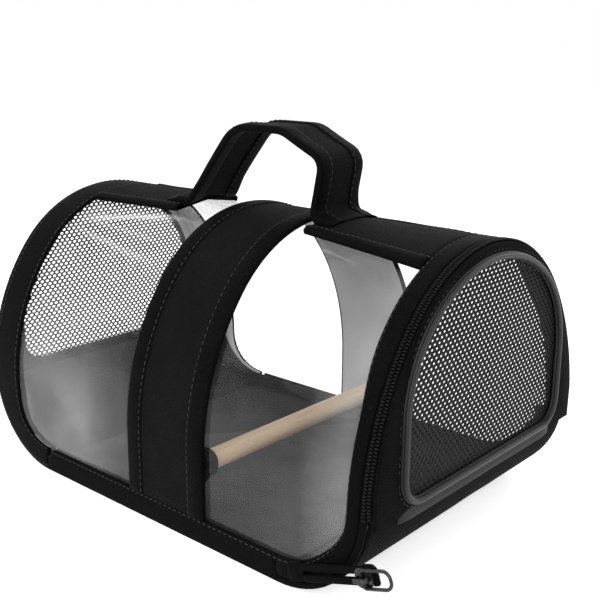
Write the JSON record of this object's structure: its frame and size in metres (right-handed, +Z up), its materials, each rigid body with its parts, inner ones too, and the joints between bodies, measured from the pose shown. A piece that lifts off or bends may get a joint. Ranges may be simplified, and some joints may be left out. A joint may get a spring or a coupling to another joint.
{
  "type": "bird travel carrier",
  "caption": "Small soft tunnel carrier for a pet bird with clear sides, mesh end panels, a zipped door, a wooden perch and a strap handle.",
  "frame": {"origin": "on the ground under the middle of the tunnel, at the centre of the base panel's flat face", "axes": "+Z up; +X along the tunnel towards the zipped door; -Y is the side that carries the zip's tail"},
  "size_m": [0.2675, 0.1675, 0.1764],
  "materials": {
    "clear_film": "clear flexible PVC film, glossy",
    "black_fabric": "black woven polyester",
    "webbing": "dark grey-black woven band",
    "binding": "black bound edge tape",
    "net": "black hexagonal polyester net",
    "piping": "dark piped seam",
    "lining": "grey woven lining",
    "board": "grey covered stiffening board",
    "zip_tape": "black zip tape",
    "zip_coil": "black nylon coil",
    "metal": "black lacquered zinc",
    "hinge_fabric": "grey hinge tape",
    "dowel": "pale sanded hardwood dowel"
  },
  "bodies": {
    "carrier": {"base_panel": "black_fabric", "clear_cover": "clear_film", "door_hinge_strip": "hinge_fabric", "far_gusset": "black_fabric", "far_net": "net", "far_piping": "piping", "far_rim_band": "black_fabric", "far_sill_strip": "black_fabric", "floor_board": "board", "floor_lining": "lining", "front_base_band": "black_fabric", "handle_binding_front": "binding", "handle_binding_rear": "binding", "handle_strap": "webbing", "hoop_band": "webbing", "hoop_binding_far": "binding", "hoop_binding_near": "binding", "near_rim_band": "black_fabric", "perch_pocket_front": "black_fabric", "perch_pocket_rear": "black_fabric", "rear_base_band": "black_fabric", "top_strip_far": "webbing", "top_strip_far_front_binding": "binding", "top_strip_far_rear_binding": "binding", "top_strip_near": "webbing", "top_strip_near_front_binding": "binding", "top_strip_near_rear_binding": "binding", "zip_coil_body": "zip_coil", "zip_tail": "zip_tape", "zip_tape_body": "zip_tape"},
    "door": {"door_gusset": "black_fabric", "door_net": "net", "door_piping": "piping", "zip_tape_door": "zip_tape", "zip_coil_door": "zip_coil"},
    "slider": {"zip_slider": "metal"},
    "pull": {"pull_ring": "metal"},
    "perch_rod": {"perch": "dowel"}
  },
  "joints": [
    {"name": "door_hinge", "type": "hinge", "parent": "carrier", "child": "door", "pos_m": [0.1266, 0, 0.04], "axis": [0, 1, 0], "range_deg": [0, 110]},
    {"name": "slider_run", "type": "slide", "parent": "carrier", "child": "slider", "axis": [0.9426, 0, 0.3338], "range_m": [-0.03, 0]},
    {"name": "pull_swing", "type": "hinge", "parent": "slider", "child": "pull", "pos_m": [0.12646, -0.0849, 0.02302], "axis": [-0.3338, 0, 0.9426], "range_deg": [-170, 0]},
    {"name": "perch_turn", "type": "hinge", "parent": "carrier", "child": "perch_rod", "pos_m": [0.029, 0, 0.035], "axis": [0, 1, 0], "continuous": true}
  ]
}
